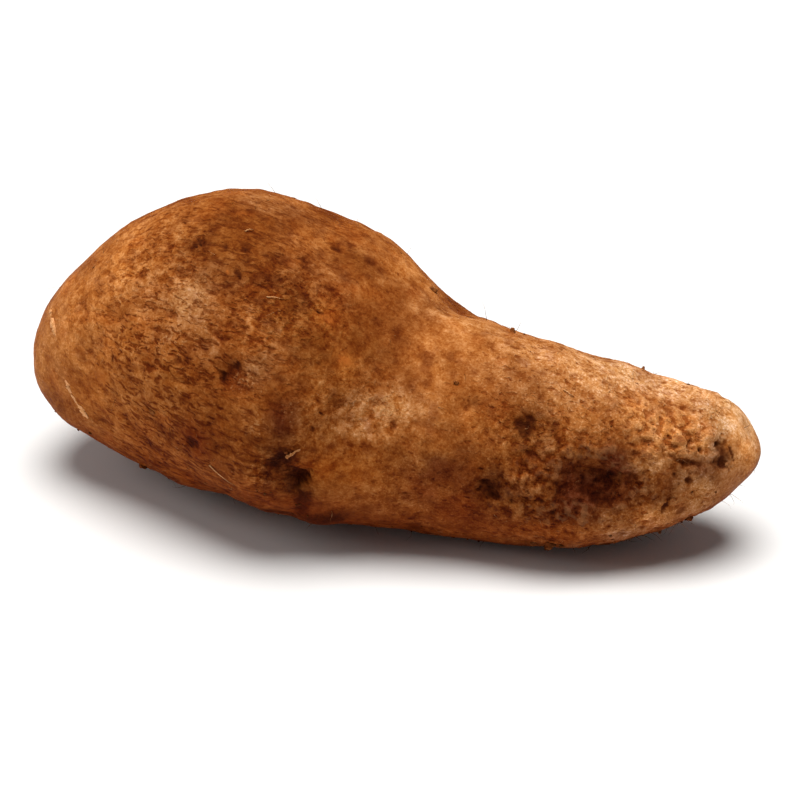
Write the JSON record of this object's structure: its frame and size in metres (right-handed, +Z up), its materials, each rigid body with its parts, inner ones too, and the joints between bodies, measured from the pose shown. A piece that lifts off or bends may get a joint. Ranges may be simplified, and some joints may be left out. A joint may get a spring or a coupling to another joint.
{
  "type": "yam tuber",
  "caption": "Whole yam tuber lying on its belly: a swollen head, a narrower body, a blunt tapered tip, and brown skin with hollows and root scars.",
  "frame": {"origin": "middle of the bounding box's base, on the surface the tuber lies on", "axes": "+X along the tuber from the swollen head to the growing tip, +Y towards the far side, +Z up"},
  "size_m": [0.253, 0.1112, 0.1052],
  "materials": {
    "skin": "matte"
  },
  "bodies": {
    "root": {"tuber": "skin"}
  },
  "joints": []
}
